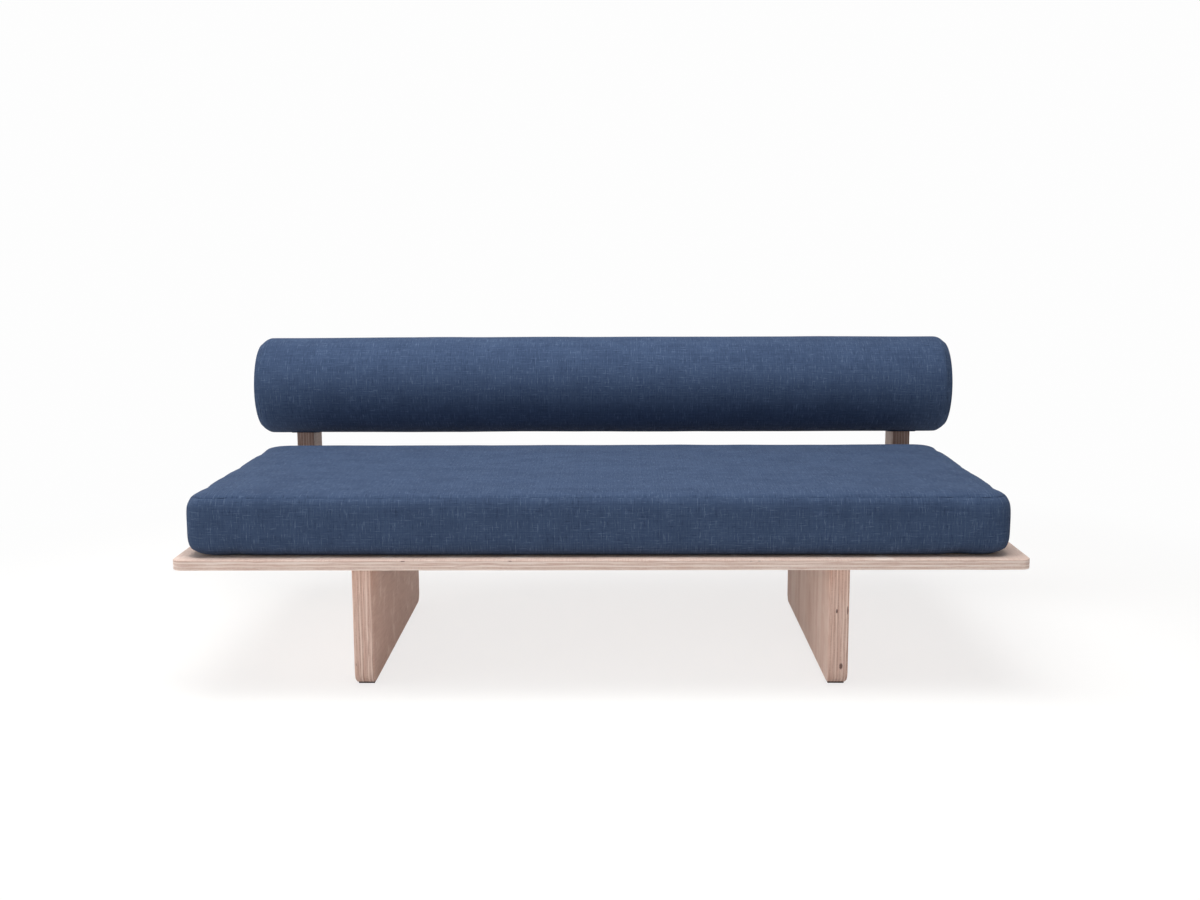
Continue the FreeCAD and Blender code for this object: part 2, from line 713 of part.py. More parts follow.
def zip_ridge(length):
    """The coil of a zip along X, its tape's upper face at Z = 0 and its middle at X = 0."""
    width = size("zip_coil_width")
    return Part.makeBox(length, width, size("zip_coil_height"), Vector(-length / 2, -width / 2, 0))


def zip_slider(length):
    """The slider at the left end of a zip of that length."""
    width, play = size("slider_width"), size("slider_clearance")
    x = -length / 2 + size("slider_end_gap")
    body = Part.makeBox(size("slider_length"), width, size("slider_height"),
                        Vector(x, -width / 2, play))
    body = body.makeFillet(size("slider_height") / 4,
                           [e for e in body.Edges if e.BoundBox.ZMin > size("slider_height") / 2])
    channel = size("zip_coil_width") + 2 * play
    return body.cut(Part.makeBox(size("slider_length"), channel, size("zip_coil_height") + play,
                                 Vector(x, -channel / 2, 0)))


def set_down(shape, base, rotation):
    placed = shape.copy()
    placed.Placement = Placement(base, rotation)
    return placed


def make_seat_zip():
    """On the rear of the seat cover, its coil facing back."""
    width, thick = size("zip_tape_width"), size("zip_tape_thickness")
    length = size("cushion_width") - 2 * size("zip_end_margin")
    rear = size("front") + size("cushion_front_margin") + size("cushion_depth")
    face = Vector(-size("cushion_shift"), rear + thick, size("platform_top") + size("zip_height"))
    backward = Rotation(Vector(1, 0, 0), -90)
    tape = Part.makeBox(length, width, thick, Vector(-length / 2, -width / 2, -thick))
    solid("seat_zip_tape", set_down(tape.fuse(zip_ridge(length)).removeSplitter(), face, backward))
    solid("seat_zip_slider", set_down(zip_slider(length), face, backward))


def make_bolster_zip():
    """Low at the rear of the bolster cover, its tape bent to the round."""
    width, thick = size("zip_tape_width"), size("zip_tape_thickness")
    length = size("platform_width") - 2 * size("zip_end_margin")
    radius = size("bolster_radius")
    axis_start = Vector(-length / 2, 0, -radius - thick)
    ring = Part.makeCylinder(radius + thick, length, axis_start, Vector(1, 0, 0))
    ring = ring.cut(Part.makeCylinder(radius, length, axis_start, Vector(1, 0, 0)))
    tape = ring.common(Part.makeBox(length, width, radius, Vector(-length / 2, -width / 2, -radius)))
    ridge = zip_ridge(length)
    root = Part.makeBox(length, size("zip_coil_width"), thick / 2,
                        Vector(-length / 2, -size("zip_coil_width") / 2, -thick / 2))
    tape = tape.fuse([ridge, root]).removeSplitter()
    low_rear = Rotation(Vector(1, 0, 0), -135)
    out = low_rear.multVec(Vector(0, 0, radius + thick))
    face = Vector(0, size("bolster_y"), size("bolster_z")) + out
    solid("bolster_zip_tape", set_down(tape, face, low_rear))
    solid("bolster_zip_slider", set_down(zip_slider(length), face, low_rear))


# The whole sofa

make_platform()
make_legs()
make_glide("left_leg_glide", "-places.leg_outer")
make_glide("right_leg_glide", "places.leg_inner")
make_post("left", -1, "-places.post_outer + sizes.board_thickness")
make_post("right", 1, "places.post_outer - sizes.board_thickness")
make_brackets()
make_post_fasteners()
make_core()
make_seat_cushion()
make_bolster()
make_seat_zip()
make_bolster_zip()
doc.recompute()

NODES = [
    "platform_panel",
    "left_leg_outer_board", "left_leg_inner_board",
    "right_leg_inner_board", "right_leg_outer_board",
    "left_leg_glide", "right_leg_glide",
    "left_post_outer_board", "left_post_inner_board",
    "right_post_inner_board", "right_post_outer_board",
    "leg_brackets", "bracket_platform_screws", "bracket_leg_screws",
    "platform_inserts", "leg_inserts",
    "post_bolts", "post_washers", "post_barrel_nuts",
    "bolster_front_rail", "bolster_rear_rail", "bolster_spacer_blocks",
    "bolster_stop_blocks", "bolster_core_screws", "bolster_foam", "bolster_cover",
    "bolster_zip_tape", "bolster_zip_slider",
    "seat_foam_core", "seat_wadding", "seat_cover", "seat_zip_tape", "seat_zip_slider",
]

for thing in doc.Objects:
    assert not {"Invalid", "Error"} & set(thing.State), thing.Label + " failed"
nodes = [doc.getObjectsByLabel(label)[0] for label in NODES]
for node in nodes:
    assert not node.Shape.isNull() and node.Shape.isValid(), node.Label + " is not valid"
for node in nodes:
    node.Shape.exportStep("parts/%s.step" % node.Label)
print("%d nodes" % len(nodes))
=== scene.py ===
import bmesh
import bpy
import math
from mathutils import Matrix, Vector, noise


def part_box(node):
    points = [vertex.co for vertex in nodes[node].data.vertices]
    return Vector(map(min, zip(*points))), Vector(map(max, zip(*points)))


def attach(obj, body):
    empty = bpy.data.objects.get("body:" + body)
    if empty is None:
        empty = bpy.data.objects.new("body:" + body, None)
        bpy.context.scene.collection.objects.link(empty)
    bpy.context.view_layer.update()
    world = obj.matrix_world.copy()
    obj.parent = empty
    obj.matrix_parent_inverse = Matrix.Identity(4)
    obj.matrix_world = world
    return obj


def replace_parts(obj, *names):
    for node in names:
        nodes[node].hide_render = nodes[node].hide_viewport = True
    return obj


# A daybed sofa in a plain studio: whitewashed plywood platform on two slab legs, a
# loose blue seat cushion, and a round bolster that stands on two posts behind it.
# Metres, in the frame of the model. X runs along the seat, Y to the back, Z up.

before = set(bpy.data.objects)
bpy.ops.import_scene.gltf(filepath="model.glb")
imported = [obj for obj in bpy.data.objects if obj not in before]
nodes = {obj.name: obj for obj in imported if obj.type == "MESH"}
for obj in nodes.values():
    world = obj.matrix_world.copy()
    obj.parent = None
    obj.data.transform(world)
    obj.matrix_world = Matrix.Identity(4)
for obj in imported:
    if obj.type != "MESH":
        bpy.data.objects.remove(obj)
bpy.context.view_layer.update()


# Places read from the model

PANEL_LOW, PANEL_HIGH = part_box("platform_panel")
SEAT_LOW, SEAT_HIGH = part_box("seat_cover")
BOLSTER_LOW, BOLSTER_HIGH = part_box("bolster_cover")
BOLSTER_RADIUS = (BOLSTER_HIGH.z - BOLSTER_LOW.z) / 2
BOLSTER_AXIS = (BOLSTER_LOW + BOLSTER_HIGH) / 2
SEAT_ZIP_LOW, SEAT_ZIP_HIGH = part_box("seat_zip_tape")
BOLSTER_ZIP_LOW, BOLSTER_ZIP_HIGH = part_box("bolster_zip_tape")
STOP_LOW, STOP_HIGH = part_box("bolster_stop_blocks")

# Sizes that only the looks need, metres

SEAT_EDGE_HEIGHT = 0.138
SEAT_CROWN_STEPS = ((0.0, 0.0), (0.016, 0.55), (0.050, 0.85), (0.180, 1.0))
SEAT_CORNER_RADIUS = 0.040
SEAT_GRAIN = 0.013
SEAT_BASE_ROUND = 0.018
SEAT_BASE_RISE = 0.026
SEAT_TOP_ROUND = 0.008
SEAT_TOP_RISE = 0.034
SEAT_PULL = 0.002
SEAT_BULGE = Vector((0.007, 0.008, 0.0))
SKIN_PLAY = 0.0003
BOLSTER_END_ROUND = 0.018
BOLSTER_END_BULGE = 0.008
BOLSTER_SIDES = 96
BOLSTER_CUTS = 199
BOLSTER_END_RINGS = 9
BOLSTER_RING_WIDTH = 0.0125
COVER_SLACK = 0.003
ZIP_TURN = math.radians(45)
SLOT_PLAY = 0.003


# Choosing and shaping

def only(piece):
    """Selects one piece alone and makes it the active one."""
    if bpy.context.object and bpy.context.object.mode != "OBJECT":
        bpy.ops.object.mode_set(mode="OBJECT")
    bpy.ops.object.select_all(action="DESELECT")
    piece.select_set(True)
    bpy.context.view_layer.objects.active = piece


def start_edit(piece):
    """Opens a piece for editing with nothing selected."""
    only(piece)
    bpy.ops.object.mode_set(mode="EDIT")
    bpy.ops.mesh.select_all(action="DESELECT")


def end_edit():
    bpy.ops.object.mode_set(mode="OBJECT")


def choose(piece, kind, test):
    """While editing, selects the verts, edges or faces that pass a test, and gives their number."""
    mode = {"verts": "VERT", "edges": "EDGE", "faces": "FACE"}[kind]
    bpy.ops.mesh.select_mode(type=mode)
    bpy.ops.mesh.select_all(action="DESELECT")
    mesh = bmesh.from_edit_mesh(piece.data)
    count = 0
    for part in getattr(mesh, kind):
        if test(part):
            part.select_set(True)
            count += 1
    bmesh.update_edit_mesh(piece.data)
    return count


def middle(edge):
    return (edge.verts[0].co + edge.verts[1].co) / 2


def runs_along(edge, axis):
    """True if an edge runs along the axis of that number."""
    way = edge.verts[1].co - edge.verts[0].co
    return abs(way[axis]) > 0.99 * way.length


def near(value, wanted, play=1e-5):
    return abs(value - wanted) < play


def rest_at_origin(piece, name):
    """Moves the place, turn and scale of a new piece into its mesh."""
    only(piece)
    bpy.ops.object.transform_apply(location=True, rotation=True, scale=True)
    piece.name = name
    piece.data.name = name
    return piece


def block(name, low, high):
    """A block between two corners, to be shaped further."""
    bpy.ops.object.select_all(action="DESELECT")
    low, high = Vector(low), Vector(high)
    bpy.ops.mesh.primitive_cube_add(size=1, location=(low + high) / 2, scale=high - low)
    return rest_at_origin(bpy.context.object, name)


def modify(piece, kind, **settings):
    """Adds a modifier, sets it up and applies it."""
    only(piece)
    bpy.ops.object.modifier_add(type=kind)
    modifier = piece.modifiers[-1]
    for name, value in settings.items():
        setattr(modifier, name, value)
    bpy.ops.object.modifier_apply(modifier=modifier.name)


def smooth(piece, degrees=35):
    only(piece)
    bpy.ops.object.shade_smooth_by_angle(angle=math.radians(degrees))


def copy_of(piece, name, move=Matrix()):
    """A copy with a mesh of its own, moved to its place."""
    twin = piece.copy()
    twin.data = piece.data.copy()
    twin.name = name
    twin.data.name = name
    twin.data.transform(move)
    bpy.context.scene.collection.objects.link(twin)
    return twin


def join(pieces, name):
    """Makes one piece of several."""
    only(pieces[0])
    for piece in pieces[1:]:
        piece.select_set(True)
    bpy.ops.object.join()
    pieces[0].name = name
    pieces[0].data.name = name
    return pieces[0]


def strew(name, model, places):
    """One mesh that holds the model once at each place, and the model is used up."""
    points = [v.co.copy() for v in model.data.vertices]
    faces = [tuple(f.vertices) for f in model.data.polygons]
    all_points, all_faces = [], []
    for place in places:
        first = len(all_points)
        all_points.extend(place @ point for point in points)
        all_faces.extend(tuple(first + corner for corner in face) for face in faces)
    mesh = bpy.data.meshes.new(name)
    mesh.from_pydata(all_points, [], all_faces)
    mesh.validate()
    piece = bpy.data.objects.new(name, mesh)
    bpy.context.scene.collection.objects.link(piece)
    bpy.data.objects.remove(model)
    return piece


def dressed(piece, body, finish):
    """Gives a finished piece its body and its material."""
    piece.data.materials.clear()
    piece.data.materials.append(finish)
    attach(piece, body)
    return piece


# Materials

def paint(red, green, blue):
    """A colour from its 0 to 255 screen values."""
    linear = []
    for value in (red, green, blue):
        share = value / 255
        linear.append(share / 12.92 if share <= 0.04045 else ((share + 0.055) / 1.055) ** 2.4)
    return (*linear, 1.0)


class Signal:
    """A value in a material, on which arithmetic adds Math nodes."""

    def __init__(self, finish, socket):
        self.finish = finish
        self.socket = socket

    def __add__(self, other):
        return self.finish.math("ADD", self, other)

    def __sub__(self, other):
        return self.finish.math("SUBTRACT", self, other)

    def __mul__(self, other):
        return self.finish.math("MULTIPLY", self, other)

    def __truediv__(self, other):
        return self.finish.math("DIVIDE", self, other)

    def __rsub__(self, other):
        return self.finish.math("SUBTRACT", other, self)

    __radd__ = __add__
    __rmul__ = __mul__


class Finish:
    """A material and the nodes that make it."""

    def __init__(self, name):
        self.material = bpy.data.materials.new(name)
        self.material.use_nodes = True
        self.tree = self.material.node_tree
        self.tree.nodes.clear()

    def node(self, kind, settings=None, sockets=None, output=0):
        """Adds a node, sets it up, fills its sockets and gives one of its outputs."""
        node = self.tree.nodes.new("ShaderNode" + kind)
        for name, value in (settings or {}).items():
            if name == "stops":
                self.set_stops(node.color_ramp, value)
            else:
                setattr(node, name, value)
        for name, value in (sockets or {}).items():
            if isinstance(value, Signal):
                self.tree.links.new(value.socket, node.inputs[name])
            else:
                node.inputs[name].default_value = value
        return Signal(self, node.outputs[output] if node.outputs else None)

    def set_stops(self, ramp, stops):
        while len(ramp.elements) < len(stops):
            ramp.elements.new(1.0)
        for element, (position, color) in zip(ramp.elements, stops):
            element.position = position
            element.color = color

    def math(self, operation, *values):
        return self.node("Math", {"operation": operation}, dict(enumerate(values)))

    def floor(self, value):
        return self.math("FLOOR", value)

    def fraction(self, value):
        return self.math("FRACT", value)

    def hump(self, value):
        """0 at whole numbers and 1 half way between them."""
        return self.math("SINE", self.fraction(value) * math.pi)

    def parts(self, vector):
        """The three components of a vector."""
        return [self.node("SeparateXYZ", None, {0: vector}, output) for output in range(3)]

    def vector(self, x, y, z=0.0):
        return self.node("CombineXYZ", None, {0: x, 1: y, 2: z})

    def cloud(self, vector, detail=2.0, roughness=0.5):
        """Smooth noise from 0 to 1, one unit of the vector to a blotch."""
        sockets = {"Vector": vector, "Scale": 1.0, "Detail": detail, "Roughness": roughness}
        return self.node("TexNoise", {"noise_dimensions": "3D"}, sockets)

    def dice(self, vector):
        """An even random value for each whole place."""
        return self.node("TexWhiteNoise", {"noise_dimensions": "3D"}, {"Vector": vector})

    def step(self, value, low, high):
        """0 below low and 1 above high, eased between."""
        sockets = {"Value": value, "From Min": low, "From Max": high}
        return self.node("MapRange", {"interpolation_type": "SMOOTHSTEP"}, sockets)

    def blend(self, first, second, share):
        """Two colours mixed by a share."""
        return self.node("Mix", {"data_type": "RGBA"}, {0: share, 6: first, 7: second}, output=2)

    def surface(self, color, roughness, height=None, depth=0.0, **fixed):
        """Ends the material: a Principled surface with a bump of that depth in metres."""
        sockets = {"Base Color": color, "Roughness": roughness, **fixed}
        if height is not None:
            sockets["Normal"] = self.node("Bump", None, {"Height": height, "Distance": depth,
                                                         "Strength": 1.0})
        shader = self.node("BsdfPrincipled", None, sockets)
        self.node("OutputMaterial", None, {"Surface": shader})
        return self.material


def weave(name, dark, plain, light, pitch=0.0011):
    """Heathered plain weave on the piece's own UV map, in metres: round threads that go
    over and under, and thicker or paler stretches of yarn along both ways."""
    f = Finish(name)
    across, along, _ = f.parts(f.node("UVMap", {"uv_map": "weave"}))
    warp, weft = across / pitch, along / pitch
    over = f.math("FLOORED_MODULO", f.floor(warp) + f.floor(weft), 2.0)
    warp_thread = f.hump(warp) * (0.5 + 0.5 * f.hump(weft))
    weft_thread = f.hump(weft) * (0.5 + 0.5 * f.hump(warp))
    threads = over * warp_thread + (1 - over) * weft_thread

    slub_width, slub_length = 0.0032, 0.030
    upright = f.cloud(f.vector(across / slub_width, along / slub_length, 3.0), 3.0, 0.65)
    lying = f.cloud(f.vector(across / slub_length, along / slub_width, 9.0), 3.0, 0.65)
    patches = f.cloud(f.vector(across / 0.09, along / 0.07, 5.0), 3.0, 0.6)
    yarn = f.dice(f.vector(f.floor(warp), 1.0)) + f.dice(f.vector(f.floor(weft), 7.0))
    pale = f.step(upright, 0.56, 0.68) + f.step(lying, 0.57, 0.70)
    deep = f.step(1 - upright, 0.56, 0.70) + f.step(1 - lying, 0.57, 0.71)

    color = f.blend(plain, light, 0.75 * f.math("MINIMUM", pale, 1.0))
    color = f.blend(color, dark, 0.75 * f.math("MINIMUM", deep, 1.0))
    color = f.blend(color, light, 0.16 * yarn)
    # Darker in the dips between the threads: painted shade between the threads, as well as the bump.
    color = f.blend(color, dark, 0.30 * (1 - threads))
    color = f.blend(color, dark, 0.22 * f.step(patches, 0.35, 0.70))
    height = threads + 0.5 * f.step(upright, 0.5, 0.75) + 0.5 * f.step(lying, 0.5, 0.75)
    roughness = 0.86 + 0.10 * patches
    fixed = {"Sheen Weight": 0.03, "Sheen Roughness": 0.45, "Specular IOR Level": 0.10}
    return f.surface(color, roughness, height, 0.00022, **fixed)


def plywood(name, node, stack, grain, tones, plies=6, marks=()):
    """Whitewashed plywood as a solid: veneers stacked along one axis, their grain along
    and across by turns, so that faces show grain and edges show the plies. The tones go
    from pale to dark."""
    f = Finish(name)
    low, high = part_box(node)
    cross = 3 - stack - grain
    place = f.parts(f.node("TexCoord", None, None, output=3))
    wander = f.cloud(f.vector(place[0] * 9.1, place[1] * 9.1, place[2] * 9.1), 2.0) - 0.5
    layer = (place[stack] - low[stack]) * (plies / (high[stack] - low[stack])) + 0.9 * wander
    number = f.math("MAXIMUM", f.math("MINIMUM", f.floor(layer), plies - 1.0), 0.0)
    turned = f.math("FLOORED_MODULO", number, 2.0)

    def streaks(along, side, length, width, detail):
        """Noise drawn out along one axis, different in every veneer."""
        spot = [None, None, None]
        spot[along] = place[along] / length
        spot[side] = place[side] / width
        spot[stack] = place[stack] / 0.012 + 17.3 * number
        return f.cloud(f.vector(*spot), detail, 0.6)

    bands = streaks(grain, cross, 0.55, 0.045, 2.0)
    lines = streaks(grain, cross, 0.11, 0.0022, 3.0)
    pores = streaks(cross, grain, 0.05, 0.0014, 3.0)
    own = f.dice(f.vector(number, 3.0, stack + 1.0))
    glue = 1 - f.math("MINIMUM", 7.0 * f.math("PINGPONG", layer, 0.5), 1.0)
    within = f.step(f.math("PINGPONG", (place[stack] - low[stack]) / (high[stack] - low[stack]), 0.5),
                    0.02, 0.04)

    wash, wood, rose = tones
    broken = f.step(streaks(grain, cross, 0.09, 0.5, 2.0), 0.42, 0.60)
    spot = [None, None, None]
    spot[grain], spot[cross], spot[stack] = place[grain] / 0.07, place[cross] / 0.06, place[stack] / 0.0021
    veins = f.cloud(f.vector(*spot), 3.0, 0.6)
    along_tone = f.blend(wash, wood, f.step(bands, 0.30, 0.68))
    along_tone = f.blend(along_tone, rose, 0.30 * f.step(lines, 0.50, 0.80))
    across_tone = f.blend(wood, rose, 0.15 + 0.55 * f.step(pores, 0.35, 0.75))
    color = f.blend(along_tone, across_tone, turned)
    color = f.blend(color, rose, 0.35 * own * within)
    color = f.blend(color, rose, (0.15 + 0.60 * within) * f.step(veins, 0.52, 0.66))
    color = f.blend(color, wash, 0.60 * f.step(1 - veins, 0.54, 0.68))
    color = f.blend(color, GLUE_BROWN, 0.40 * glue * within * broken)
    flaws = f.step(streaks(grain, cross, 0.035, 0.0016, 1.0), 0.745, 0.79)
    color = f.blend(color, FLAW_BROWN, 0.75 * flaws * turned)
    for point, width, height in marks:
        apart = [(place[axis] - point[axis]) / reach for axis, reach in
                 ((0, width), (1, 0.004), (2, height))]
        spread = apart[0] * apart[0] + apart[1] * apart[1] + apart[2] * apart[2]
        spread = spread + 0.9 * (f.cloud(f.vector(place[0] * 420, place[1] * 420, place[2] * 260)) - 0.5)
        color = f.blend(color, KNOT_BROWN, 0.85 * (1 - f.step(spread, 0.35, 1.0)))
    height = lines * (1 - turned) + pores * turned - 0.8 * glue * within
    roughness = 0.56 + 0.22 * lines
    return f.surface(color, roughness, height, 0.00018, **{"Specular IOR Level": 0.30})


def metal(name, color, stain, roughness, scale):
    """Plated or bare metal with fine grain and faint stains."""
    f = Finish(name)
    spot = f.parts(f.node("TexCoord", None, None, output=3))
    fine = f.cloud(f.vector(spot[0] * scale, spot[1] * scale * 0.3, spot[2] * scale), 4.0, 0.6)
    broad = f.cloud(f.vector(spot[0] * 60, spot[1] * 60, spot[2] * 60), 3.0, 0.5)
    tone = f.blend(color, stain, 0.55 * f.step(broad, 0.45, 0.70))
    shine = roughness + 0.16 * fine + 0.12 * broad
    return f.surface(tone, shine, fine, 0.00004, Metallic=1.0)


def felt(name, color, light):
    """Pressed fibres of the strips below the legs."""
    f = Finish(name)
    x, y, z = f.parts(f.node("TexCoord", None, None, output=3))
    fibres = f.cloud(f.vector(x * 900, y * 240, z * 900), 4.0, 0.7)
    tufts = f.cloud(f.vector(x * 130, y * 130, z * 260), 3.0, 0.6)
    tone = f.blend(color, light, 0.7 * f.step(fibres, 0.45, 0.72))
    tone = f.blend(tone, light, 0.3 * tufts)
    return f.surface(tone, 0.9 + 0.08 * tufts, fibres, 0.0003, **{"Specular IOR Level": 0.15})


def tape_weave(name, dark, light):
    """Herringbone of a zip tape or binding, on the piece's own UV map in metres."""
    f = Finish(name)
    along, across, _ = f.parts(f.node("UVMap", {"uv_map": "weave"}))
    rows = across / 0.0022
    way = 2.0 * f.math("FLOORED_MODULO", f.floor(rows), 2.0) - 1.0
    twill = f.hump(along / 0.0011 + way * across / 0.0011)
    edge = f.hump(rows)
    yarn = f.cloud(f.vector(along / 0.004, across / 0.0009), 3.0)
    # Lighter on the twill's ribs and darker in the grooves between them and between rows: painted shade of
    # the weave's relief, as well as the bump.
    tone = f.blend(dark, light, 0.75 * twill * edge)
    tone = f.blend(tone, dark, 0.4 * yarn)
    return f.surface(tone, 0.78 + 0.1 * yarn, twill + edge, 0.00015,
                     **{"Specular IOR Level": 0.25})


NAVY = paint(32, 46, 73)
BLUE = paint(60, 78, 108)
PALE_BLUE = paint(98, 117, 147)

blue_weave = weave("blue_weave", NAVY, BLUE, PALE_BLUE)
blue_binding = tape_weave("blue_binding", paint(34, 45, 69), paint(63, 78, 106))
zip_tape = tape_weave("zip_tape", paint(28, 36, 56), paint(49, 60, 84))
zinc = metal("zinc_plate", paint(176, 179, 184), paint(140, 146, 153), 0.30, 900)
brass = metal("plain_brass", paint(198, 168, 104), paint(150, 118, 66), 0.26, 1200)
zip_metal = metal("gunmetal", paint(112, 115, 122), paint(82, 84, 92), 0.24, 1500)
zip_coil = felt("zip_coil", paint(24, 30, 46), paint(44, 54, 76))
brown_felt = felt("brown_felt", paint(58, 44, 39), paint(92, 74, 67))


# Wood: the boards keep the model's shape, with their sharp edges eased

BOARD_EASE = 0.0011
WOOD = {
    "platform_panel": (2, 0, None),
    "left_leg_outer_board": (0, 2, BOARD_EASE),
    "left_leg_inner_board": (0, 2, BOARD_EASE),
    "right_leg_inner_board": (0, 2, BOARD_EASE),
    "right_leg_outer_board": (0, 2, BOARD_EASE),
    "left_post_outer_board": (0, 2, BOARD_EASE),
    "left_post_inner_board": (0, 2, BOARD_EASE),
    "right_post_inner_board": (0, 2, BOARD_EASE),
    "right_post_outer_board": (0, 2, BOARD_EASE),
}
LEG_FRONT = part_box("right_leg_outer_board")[0].y
KNOTS = {
    "right_leg_outer_board": [((0.5680, LEG_FRONT, 0.050), 0.0048, 0.009),
                              ((0.5812, LEG_FRONT, 0.186), 0.0022, 0.012)],
    "right_leg_inner_board": [((0.5556, LEG_FRONT, 0.184), 0.0026, 0.006)],
}
PANEL_TONES = (paint(248, 234, 225), paint(233, 213, 201), paint(204, 170, 157))
LEG_TONES = (paint(243, 220, 208), paint(229, 199, 185), paint(190, 149, 133))
# Tones for the posts, darker than the legs': painted shade, for the shade the bolster casts over the
# posts.
SHADED_POST_TONES = (paint(178, 156, 146), paint(160, 135, 124), paint(124, 97, 87))
CORE_TONES = (paint(222, 206, 186), paint(204, 180, 152), paint(170, 138, 108))
GLUE_BROWN = paint(122, 88, 76)
FLAW_BROWN = paint(92, 60, 50)
KNOT_BROWN = paint(84, 47, 41)


def eased_board(node, ease):
    """A board of the model with its corners merged and its sharp edges eased."""
    piece = copy_of(nodes[node], node + "_wood")
    piece.parent = None
    start_edit(piece)
    bpy.ops.mesh.select_all(action="SELECT")
    bpy.ops.mesh.remove_doubles(threshold=1e-5)
    bpy.ops.mesh.dissolve_limited(angle_limit=math.radians(0.5))
    end_edit()
    if ease:
        modify(piece, "BEVEL", width=ease, segments=3, limit_method="ANGLE",
               angle_limit=math.radians(40))
    smooth(piece, 30)
    return piece


def make_wood():
    for node, (stack, grain, ease) in WOOD.items():
        # The posts take the darker tones that carry painted shade.
        tones = PANEL_TONES if ease is None else SHADED_POST_TONES if "post" in node else LEG_TONES
        finish = plywood(node + "_ply", node, stack, grain, tones, marks=KNOTS.get(node, ()))
        piece = eased_board(node, ease)
        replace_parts(dressed(piece, "frame", finish), node)


def make_core_wood():
    """The rails and blocks inside the bolster keep the model's meshes."""
    kinds = {"bolster_front_rail": (1, 0), "bolster_rear_rail": (1, 0),
             "bolster_spacer_blocks": (0, 2), "bolster_stop_blocks": (2, 0)}
    for node, (stack, grain) in kinds.items():
        refinish(node, plywood(node + "_ply", node, stack, grain, CORE_TONES))


def refinish(node, finish):
    """Gives a node of the model a material."""
    if not nodes[node].material_slots:
        nodes[node].data.materials.append(finish)
    for place in nodes[node].material_slots:
        place.material = finish


# Padded pieces

def blow_up(piece, pressure, caps, frames=20):
    """Blows a cover up as cloth, and lets no point move further than its cap along X, Y and Z."""
    before = [v.co.copy() for v in piece.data.vertices]
    only(piece)
    bpy.ops.object.modifier_add(type="CLOTH")
    cloth = piece.modifiers[-1]
    cloth.settings.use_pressure = True
    cloth.settings.uniform_pressure_force = pressure
    cloth.settings.effector_weights.gravity = 0
    scene = bpy.context.scene
    scene.frame_start = 1
    scene.frame_end = frames
    for number in range(1, frames + 1):
        scene.frame_set(number)
    bpy.ops.object.modifier_apply(modifier=cloth.name)
    scene.frame_set(1)
    for vertex, start in zip(piece.data.vertices, before):
        moved = vertex.co - start
        vertex.co = start + Vector(max(-cap, min(cap, way)) for way, cap in zip(moved, caps))


def fill_space(piece, low, high):
    """Stretches a piece a little, so that it just fills the space between two corners."""
    for axis in range(3):
        places = [vertex.co[axis] for vertex in piece.data.vertices]
        start, reach = min(places), max(places) - min(places)
        for vertex in piece.data.vertices:
            share = (vertex.co[axis] - start) / reach
            vertex.co[axis] = low[axis] + share * (high[axis] - low[axis])


def seat_levels():
    """Height and draw-in of the seat cushion's outline, from base to crown."""
    levels = []
    for angle in (0, 30, 60, 90):
        turn = math.radians(angle)
        levels.append((SEAT_BASE_RISE * (1 - math.cos(turn)), SEAT_BASE_ROUND * (1 - math.sin(turn))))
    for angle in (90, 50, 20):
        turn = math.radians(angle)
        levels.append((SEAT_EDGE_HEIGHT - SEAT_TOP_RISE * (1 - math.cos(turn)),
                       SEAT_TOP_ROUND * (1 - math.sin(turn))))
    crown = SEAT_HIGH.z - SEAT_LOW.z - SEAT_EDGE_HEIGHT
    for reach, share in SEAT_CROWN_STEPS:
        levels.append((SEAT_EDGE_HEIGHT + crown * share, SEAT_TOP_ROUND + reach))
    return levels


def seat_blank():
    """The outline of the seat cushion, raised level by level from its base."""
    centre = (SEAT_LOW + SEAT_HIGH) / 2
    half = Vector(((SEAT_HIGH.x - SEAT_LOW.x) / 2 - COVER_SLACK,
                   (SEAT_HIGH.y - SEAT_LOW.y) / 2 - COVER_SLACK, 0))
    levels = seat_levels()
    rise, draw = levels[0]
    bpy.ops.object.select_all(action="DESELECT")
    bpy.ops.mesh.primitive_plane_add(size=2, location=(0, 0, SEAT_LOW.z))
    piece = rest_at_origin(bpy.context.object, "seat_cushion")
    start_edit(piece)
    bpy.ops.mesh.select_all(action="SELECT")
    bpy.ops.transform.resize(value=(half.x, half.y, 1), center_override=(0, 0, 0))
    bpy.ops.mesh.bevel(offset=SEAT_CORNER_RADIUS, segments=6, affect="VERTICES")
    bpy.ops.mesh.select_all(action="SELECT")
    width, depth = half.x - draw, half.y - draw
    bpy.ops.transform.resize(value=(width / half.x, depth / half.y, 1), center_override=(0, 0, 0))
    for next_rise, next_draw in levels[1:]:
        bpy.ops.mesh.extrude_region_move(
            TRANSFORM_OT_translate={"value": (0, 0, next_rise - rise)})
        next_width, next_depth = half.x - next_draw, half.y - next_draw
        bpy.ops.transform.resize(value=(next_width / width, next_depth / depth, 1),
                                 center_override=(0, 0, 0))
        rise, width, depth = next_rise, next_width, next_depth
    bpy.ops.mesh.select_all(action="SELECT")
    bpy.ops.mesh.normals_make_consistent(inside=False)
    end_edit()
    piece.data.transform(Matrix.Translation((centre.x, centre.y, 0)))
    return piece


def waviness(point, wave, seed):
    """Gentle unevenness from -1 to 1."""
    return noise.noise(Vector((point.x / wave, point.y / wave, point.z / wave + seed)))


